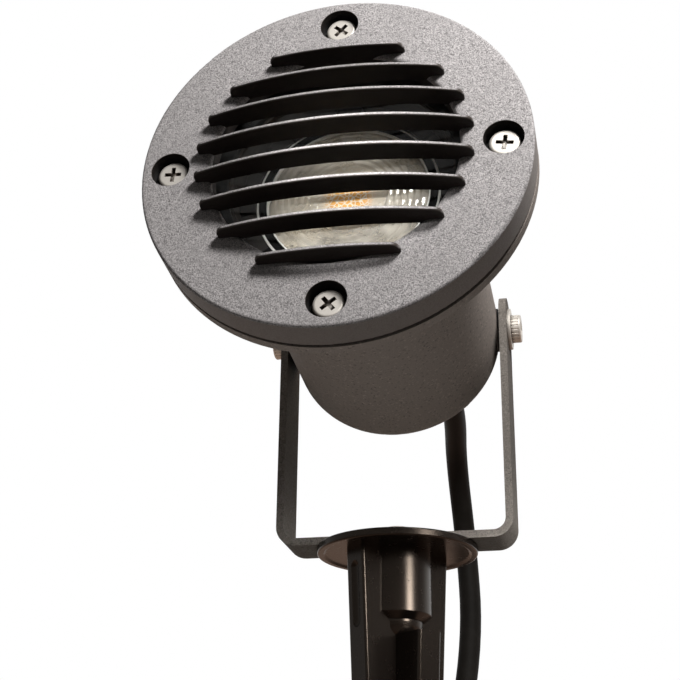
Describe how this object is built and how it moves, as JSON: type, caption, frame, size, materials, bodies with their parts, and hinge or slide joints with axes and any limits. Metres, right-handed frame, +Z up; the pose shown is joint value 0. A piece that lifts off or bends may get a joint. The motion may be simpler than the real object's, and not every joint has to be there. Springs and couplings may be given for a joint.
{
  "type": "garden spike spotlight",
  "caption": "Garden spotlight: round can with a louvred face, tilting in a U-shaped yoke that swivels on a crossed-fin ground spike, with a coiled supply cord.",
  "frame": {"origin": "centre of the underside of the disc on top of the ground spike, on the spike's axis", "axes": "+Z up along the spike's axis and the swivel's axis, -Y the way the head faces, X along the tilt axis"},
  "size_m": [0.1066, 0.236, 0.3361],
  "materials": {
    "spike_plastic": "glossy black moulding",
    "brass": "turned",
    "stainless": "turned stainless",
    "yoke_paint": "fine textured powder coat",
    "cord_rubber": "matt black jacket",
    "tie_plastic": "black hook tape",
    "plug_plastic": "black moulding",
    "pin_metal": "bright",
    "face_paint": "speckled grey powder coat",
    "seal_rubber": "matt black",
    "clear_glass": "clear",
    "housing_paint": "satin charcoal brown",
    "lamp_aluminium": "bright reflector",
    "lens_glass": "pebbled",
    "emitter": "yellow phosphor",
    "ring_metal": "pressed, black",
    "ceramic": "matt",
    "spring_steel": "bright spring",
    "lead_cover": "white sleeve",
    "crimp_cover": "red sleeve",
    "gland_plastic": "black nylon",
    "spacer_plastic": "black nylon"
  },
  "bodies": {
    "spike_body": {"ground_spike": "spike_plastic", "threaded_insert": "brass", "base_bolt": "stainless", "base_washer": "stainless"},
    "yoke_body": {"yoke": "yoke_paint", "cord_upper": "cord_rubber", "cord_lower": "cord_rubber", "cord_coil": "cord_rubber", "cord_end": "cord_rubber", "coil_tie": "tie_plastic", "plug_body": "plug_plastic", "plug_pins": "pin_metal", "plug_ring": "plug_plastic"},
    "head_body": {"face_grille": "face_paint", "face_screws": "stainless", "face_gasket": "seal_rubber", "front_glass": "clear_glass", "glass_gasket": "seal_rubber", "housing": "housing_paint", "lamp_body": "lamp_aluminium", "lamp_lens": "lens_glass", "lamp_emitter": "emitter", "lamp_ring": "ring_metal", "lamp_base": "ceramic", "lamp_pins": "pin_metal", "lamp_holder": "ceramic", "holder_clip": "spring_steel", "holder_leads": "lead_cover", "crimp_joints": "crimp_cover", "cord_cores": "lead_cover", "gland_body": "gland_plastic", "gland_lock_nut": "gland_plastic", "gland_seal": "seal_rubber", "gland_dome_nut": "gland_plastic", "cord_tail": "cord_rubber", "side_screws": "stainless", "side_washers": "stainless", "side_spacers": "spacer_plastic"}
  },
  "joints": [
    {"name": "swivel", "type": "hinge", "parent": "spike_body", "child": "yoke_body", "pos_m": [0, 0, 0.0023], "axis": [0, 0, 1], "range_deg": [-170, 170]},
    {"name": "tilt", "type": "hinge", "parent": "yoke_body", "child": "head_body", "pos_m": [0, 0, 0.069], "axis": [-1, 0, 0], "range_deg": [-45, 60], "deforming": ["cord_upper"]}
  ]
}
